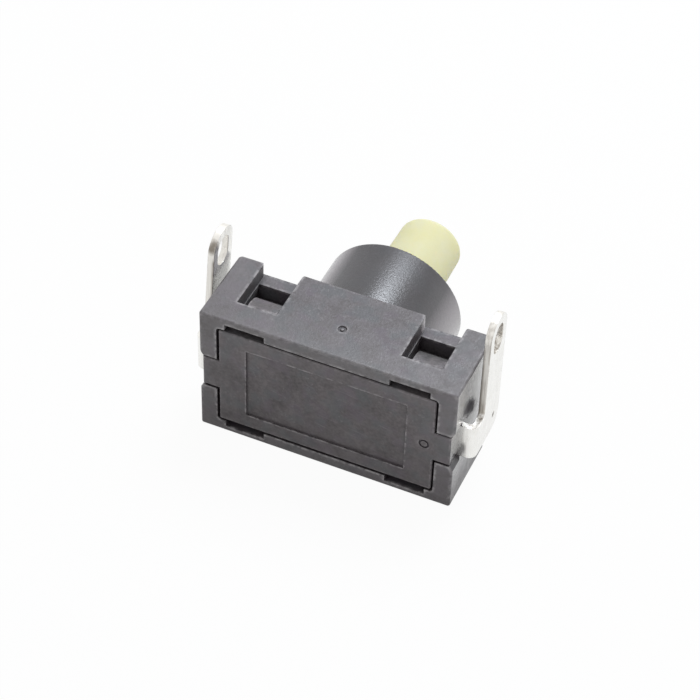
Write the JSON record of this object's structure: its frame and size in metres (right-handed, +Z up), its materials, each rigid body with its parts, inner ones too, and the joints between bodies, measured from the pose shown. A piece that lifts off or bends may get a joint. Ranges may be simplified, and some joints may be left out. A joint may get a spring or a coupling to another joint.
{
  "type": "pushbutton switch",
  "caption": "Latching pushbutton switch: black box housing with a round bushing, pale yellow push button, snap-in base cover and bent tab terminals on both ends.",
  "frame": {"origin": "on the push axis, in the shoulder face where the bushing leaves the housing", "axes": "+X along the housing between the terminals, +Y out through the bushing and button, +Z up on the side where the tabs stand"},
  "size_m": [0.0358, 0.0323, 0.0251],
  "materials": {
    "black_plastic": "matte moulded",
    "cover_plastic": "matte moulded",
    "button_plastic": "satin, slightly translucent",
    "slider_plastic": "satin",
    "plated_terminal": "bright tin plate",
    "bridge_brass": "bright",
    "contact_silver": "bright silver",
    "spring_steel": "drawn wire"
  },
  "bodies": {
    "base": {"housing": "black_plastic", "base_cover": "cover_plastic", "terminal_right": "plated_terminal", "terminal_left": "plated_terminal", "fixed_contact_right": "contact_silver", "fixed_contact_left": "contact_silver", "return_spring": "spring_steel", "latch_spring": "spring_steel"},
    "plunger": {"push_button": "button_plastic", "slider": "slider_plastic", "retaining_clip": "spring_steel"},
    "bridge": {"contact_bridge": "bridge_brass", "bridge_contact_right": "contact_silver", "bridge_contact_left": "contact_silver", "contact_spring": "spring_steel"},
    "latch": {"latch_pin": "spring_steel"}
  },
  "joints": [
    {"name": "button_push", "type": "slide", "parent": "base", "child": "plunger", "axis": [0, -1, 0], "range_m": [0, 0.0038], "stiffness_N_per_m": 500, "springref_m": -0.002, "deforming": ["return_spring", "contact_spring"]},
    {"name": "bridge_drop", "type": "slide", "parent": "base", "child": "bridge", "axis": [0, -1, 0], "range_m": [0, 0.0023]},
    {"name": "latch_swing", "type": "hinge", "parent": "base", "child": "latch", "pos_m": [0, -0.00765, -0.0057], "axis": [0, 0, -1], "range_deg": [0, 9.52]}
  ],
  "couplings": [
    {"joint": "bridge_drop", "follows": "button_push", "ratio": 0.60526},
    {"joint": "latch_swing", "follows": "button_push", "rad_per_m": 43.72}
  ]
}
